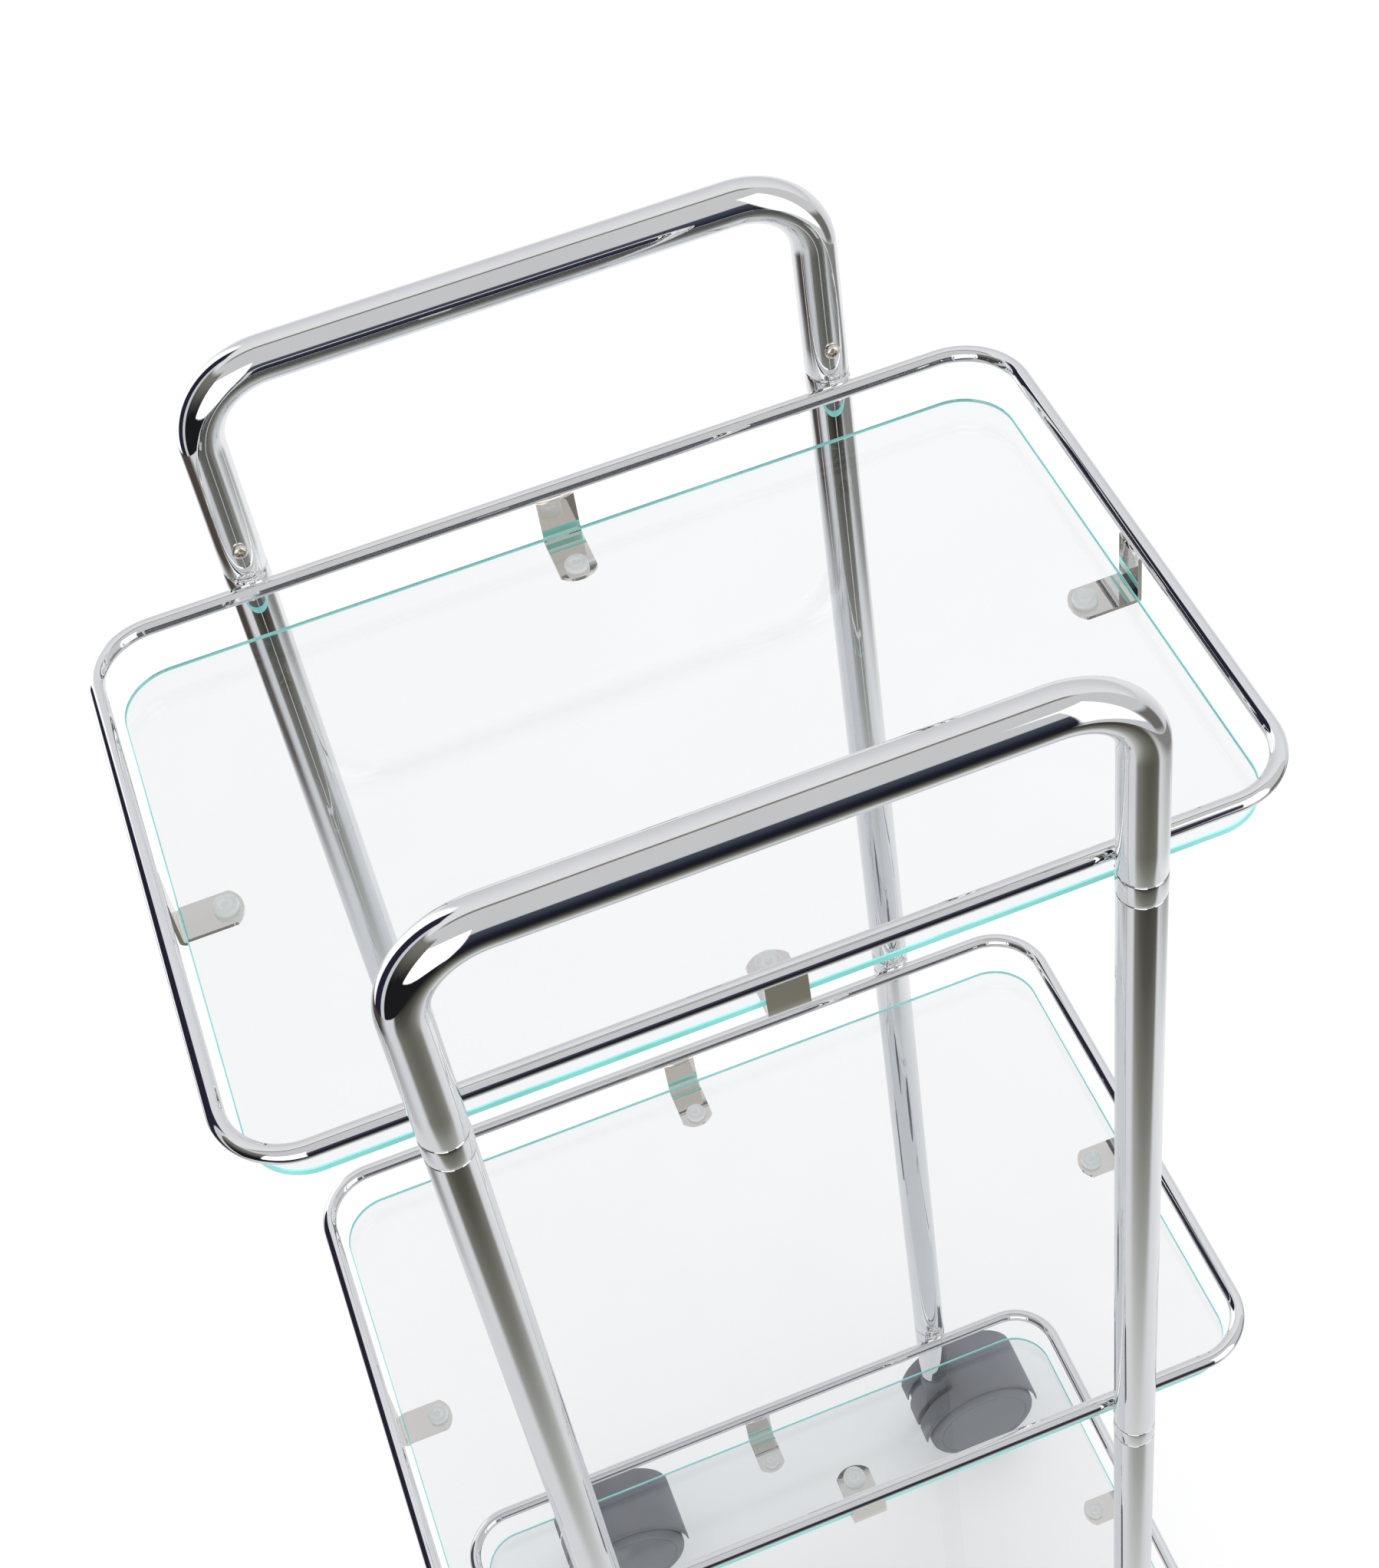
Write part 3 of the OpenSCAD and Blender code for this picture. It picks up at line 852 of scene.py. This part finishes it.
for corner, (sx, sy) in CORNERS.items():
    axle = at(sx * LEG_X + AXLE_X, sy * LEG_Y, AXLE_Z)
    mesh = Mesh()
    mesh.add(*hood_mesh(), at=axle)
    mesh.add(*web_mesh(), at=axle)
    mesh.add(*lathe(boss_profile(), 72), at=axle @ at(-AXLE_X, 0))
    node = "hood_" + corner
    piece = mesh.piece(
        node + "_shell", [HOOD_PLASTIC], "caster_" + corner, node, "caster_plastic", sharp=38,
    )
    soft_rims(piece, 0.3 * MM)
    for which, side in (("outer", sy), ("inner", -sy)):
        mesh = Mesh()
        turn = Matrix.Rotation(math.radians(-90 * side), 4, "X")
        mesh.add(*lathe(wheel_profile(), 128), at=axle @ at(0, side * WHEEL_IN) @ turn)
        node = f"wheel_{which}_{corner}"
        body = f"{which}_wheel_{corner}"
        mesh.piece(node + "_disc", [WHEEL_PLASTIC], body, node, "wheel_plastic", sharp=40)

# ---------------------------------------------------------------- CAD nodes that stay in view

KEPT = {"spigots": SLEEVE_STEEL, "stem": SLEEVE_STEEL, "axle": SLEEVE_STEEL, "caster": SOCKET_PLASTIC}
for name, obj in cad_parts.items():
    material = KEPT.get(name.split("_")[0])
    if material:
        obj.data.materials.clear()
        obj.data.materials.append(material)

# ---------------------------------------------------------------- floor, surroundings and camera


class Field:
    """A shader value that ordinary arithmetic builds nodes for."""

    def __init__(self, tree, socket):
        self.tree, self.socket = tree, socket

    def op(self, operation, *others):
        node = self.tree.nodes.new("ShaderNodeMath")
        node.operation = operation
        for socket, value in zip(node.inputs, (self, *others)):
            if isinstance(value, Field):
                self.tree.links.new(value.socket, socket)
            else:
                socket.default_value = value
        return Field(self.tree, node.outputs[0])

    def __add__(self, other):
        return self.op("ADD", other)

    def __sub__(self, other):
        return self.op("SUBTRACT", other)

    def __mul__(self, other):
        return self.op("MULTIPLY", other)

    def step(self, start, end):
        """0 below start, 1 above end, smooth between."""
        node = self.tree.nodes.new("ShaderNodeMapRange")
        node.interpolation_type = "SMOOTHSTEP"
        self.tree.links.new(self.socket, node.inputs["Value"])
        node.inputs["From Min"].default_value = start
        node.inputs["From Max"].default_value = end
        return Field(self.tree, node.outputs["Result"])

    def band(self, start, end, soft):
        """1 between start and end, and 0 outside them."""
        return self.step(start - soft, start + soft) * (self * -1).step(-end - soft, -end + soft)

    def mix(self, a, b):
        """Colour a where the value is 0 and colour b where it is 1."""
        node = self.tree.nodes.new("ShaderNodeMix")
        node.data_type = "RGBA"
        self.tree.links.new(self.socket, node.inputs["Factor"])
        for name, value in (("A", a), ("B", b)):
            if isinstance(value, bpy.types.NodeSocket):
                self.tree.links.new(value, node.inputs[name])
            else:
                node.inputs[name].default_value = (*value, 1)
        return node.outputs["Result"]


def stage_floor():
    """Plain white floor. The chrome mirrors it as a glowing sheet with painted light and shade: lighter
    towards +X and +Y, darkening in front, dark on the left and dimmer on the right; on the near and left
    sides it ends in a dark room."""
    n = Nodes("pale_floor")
    split = n.add("ShaderNodeSeparateXYZ")
    n.link(n.coords, split.inputs[0])
    x, y, _ = [Field(n.tree, socket) for socket in split.outputs]
    ahead = y * -1 - 0.10
    near = n.ramp((ahead * (1 / 1.3)).socket, [
        (0.0, (0.72, 0.73, 0.75)), (0.12, (0.63, 0.64, 0.64)), (0.26, (0.38, 0.385, 0.36)),
        (0.41, (0.20, 0.20, 0.175)), (0.60, (0.09, 0.088, 0.07)), (0.85, (0.028, 0.026, 0.022)),
    ])
    # painted light: the mirrored floor is lighter towards +X and +Y
    light = (x + y).step(-0.2, 0.9).mix((0.68, 0.69, 0.715), (0.88, 0.89, 0.90))
    # in front of the trolley the mirrored floor darkens with distance: painted shade
    front = (ahead * 0.9 - x).step(-0.15, 0.1) * (ahead * 1.4 + x).step(-0.1, 0.25)
    colour = front.mix(light, near)
    # painted shade: the mirrored floor turns dark on the left
    left = (x * -1 - 0.1).step(0.45, 0.85) * (y + 0.1).step(-0.3, 0.2)
    colour = left.mix(colour, (0.075, 0.06, 0.05))
    # painted shade: the mirrored floor turns dimmer on the right
    right = (x - 0.1).step(0.5, 0.95) * (y * -1 + 0.35).step(-0.2, 0.2)
    colour = right.mix(colour, (0.24, 0.235, 0.225))
    radius = (x * x + y * y).op("SQRT")

    path = n.add("ShaderNodeLightPath")
    mirrored = Field(n.tree, path.outputs["Glossy Depth"]).step(0.4, 0.6)
    # the painted light and shade above glow on the floor only where the chrome mirrors it
    glow = n.add("ShaderNodeEmission")
    n.link(colour, glow.inputs["Color"])
    beyond = n.add("ShaderNodeMixShader")
    n.link(radius.step(1.38, 1.42).socket, beyond.inputs[0])
    n.link(glow.outputs[0], beyond.inputs[1])
    n.link(n.add("ShaderNodeBsdfTransparent").outputs[0], beyond.inputs[2])
    tone = n.ramp(n.noise(0.8, 2.0, 0.5), [(0.3, (0.5, 0.5, 0.5)), (0.7, (0.51, 0.51, 0.51))])
    plain = n.shader(
        Base_Color=tone, Roughness=0.9, Specular_IOR_Level=0.0,
        Emission_Color=(1, 1, 1, 1), Emission_Strength=0.5,
    )
    choice = n.add("ShaderNodeMixShader")
    n.link(mirrored.socket, choice.inputs[0])
    n.link(plain.outputs[0], choice.inputs[1])
    n.link(beyond.outputs[0], choice.inputs[2])
    n.link(choice.outputs[0], n.out.inputs["Surface"])
    data = bpy.data.meshes.new("floor")
    reach = 14.0
    corners = [(-reach, -reach, 0), (reach, -reach, 0), (reach, reach, 0), (-reach, reach, 0)]
    data.from_pydata(corners, [], [[0, 1, 2, 3]])
    data.materials.append(n.material)
    in_scene("floor", data)


def surroundings():
    """White light from all sides. What the chrome mirrors is a bright studio with window-like lamps
    and dark gaps on its near and left sides. Angles are in degrees: side is 0 towards -Y and 90
    towards +X, tilt is the height above the horizon, and arch runs from +Y over the top to -Y."""
    world = bpy.data.worlds.new("studio")
    bpy.context.scene.world = world
    world.use_nodes = True
    tree = world.node_tree
    tree.nodes.clear()
    coords = tree.nodes.new("ShaderNodeTexCoord")
    split = tree.nodes.new("ShaderNodeSeparateXYZ")
    tree.links.new(coords.outputs["Generated"], split.inputs[0])
    x, y, z = [Field(tree, socket) for socket in split.outputs]
    degrees = 180 / math.pi
    side = x.op("ARCTAN2", y * -1) * degrees
    tilt = z.op("ARCSINE") * degrees
    arch = z.op("ARCTAN2", y) * degrees

    # ceiling and walls, with one dark beam overhead, and the ground below the horizon
    far = arch.step(5, 78).mix((0.63, 0.64, 0.67), (0.79, 0.79, 0.81))
    colour = arch.band(0, 85, 2).mix((0.60, 0.60, 0.615), far)
    beam = arch.band(83.5, 90.5, 1.2) * tilt.step(52, 66)
    colour = beam.mix(colour, (0.22, 0.21, 0.175))
    ground = y.step(-0.2, 0.7).mix((0.60, 0.61, 0.63), (0.82, 0.83, 0.85))
    colour = tilt.step(-4, 2).mix(ground, colour)

    # left side, from back to front: light panel, black gap, grey panel, dark gap
    panel = side + tilt * 0.35 + 129
    mask = (panel * -1).step(-1, 1) * (side + 166).step(-3, 3) * tilt.band(-60, 44, 2)
    colour = mask.mix(colour, (1.1, 1.1, 1.1))
    slant = side + tilt * 0.4 + 121
    colour = (slant.band(-14, 15, 1.5) * tilt.band(-60, 52, 2)).mix(colour, (0.02, 0.018, 0.035))
    colour = (slant.band(15, 27, 1.5) * tilt.band(-60, 46, 3)).mix(colour, (0.60, 0.63, 0.64))
    shade = tilt.step(-5, 42).mix((0.012, 0.011, 0.011), (0.19, 0.185, 0.16))
    mask = slant.step(26, 28) * (side * -1).step(53, 55) * tilt.band(-60, 44, 4)
    colour = mask.mix(colour, shade)

    # near side: black below a slanting line, a standing dark figure, a large white softbox above
    foot = tilt + (side + 52) * 0.48
    mask = side.band(-75, -7, 2) * (foot * -1).step(5, 7)
    colour = mask.mix(colour, (0.012, 0.012, 0.013))
    figure = tilt.step(-24, 14).mix((0.012, 0.013, 0.024), (0.055, 0.065, 0.09))
    colour = (side.band(-8, 22, 1.5) * (tilt * -1).step(-17, -12)).mix(colour, figure)
    mask = side.band(-53, -8, 0.8) * foot.step(-8, -6) * (tilt * -1).step(-32, -30)
    colour = mask.mix(colour, (1.35, 1.35, 1.35))

    # right side: a second softbox and a dim door
    colour = (side.band(22, 55, 1.0) * tilt.band(-25, 45, 1.5)).mix(colour, (1.25, 1.25, 1.22))
    colour = (side.band(57, 88, 4) * tilt.band(-34, -9, 4)).mix(colour, (0.16, 0.15, 0.14))

    path = tree.nodes.new("ShaderNodeLightPath")
    mirrored = Field(tree, path.outputs["Glossy Depth"]).step(0.4, 0.6)
    final = mirrored.mix((1.0, 1.0, 1.0), colour)
    background = tree.nodes.new("ShaderNodeBackground")
    tree.links.new(final, background.inputs["Color"])
    output = tree.nodes.new("ShaderNodeOutputWorld")
    tree.links.new(background.outputs[0], output.inputs["Surface"])


surroundings()
stage_floor()


def soft_light(name, place, target, size, power):
    data = bpy.data.lights.new(name, "AREA")
    data.shape = "RECTANGLE"
    data.size, data.size_y = size
    data.energy = power
    obj = in_scene(name, data)
    obj.location = place
    obj.rotation_mode = "QUATERNION"
    obj.rotation_quaternion = (Vector(target) - Vector(place)).to_track_quat("-Z", "Y")
    obj.visible_glossy = False
    obj.visible_transmission = False


soft_light("softbox_high", (1.3, 1.2, 2.4), (0, 0, 0.4), (1.6, 1.6), 14)


def camera():
    """The photo's camera: above the front handle and left of the middle, looking down at the back."""
    data = bpy.data.cameras.new("camera")
    data.sensor_width = 36
    data.lens = 59.863
    data.shift_x = 0.02153
    data.shift_y = -0.08415
    data.clip_start, data.clip_end = 0.02, 60
    obj = in_scene("camera", data)
    right = Vector((0.934668, -0.331636, -0.128114))
    down = Vector((-0.328476, -0.667689, -0.668053))
    ahead = Vector((0.136010, 0.666490, -0.733002))
    turn = Matrix((right, -down, -ahead)).transposed()
    obj.matrix_world = Matrix.Translation((-0.10912, -0.54846, 1.47820)) @ turn.to_4x4()
    bpy.context.scene.camera = obj


camera()
bpy.context.scene.view_settings.view_transform = "Standard"
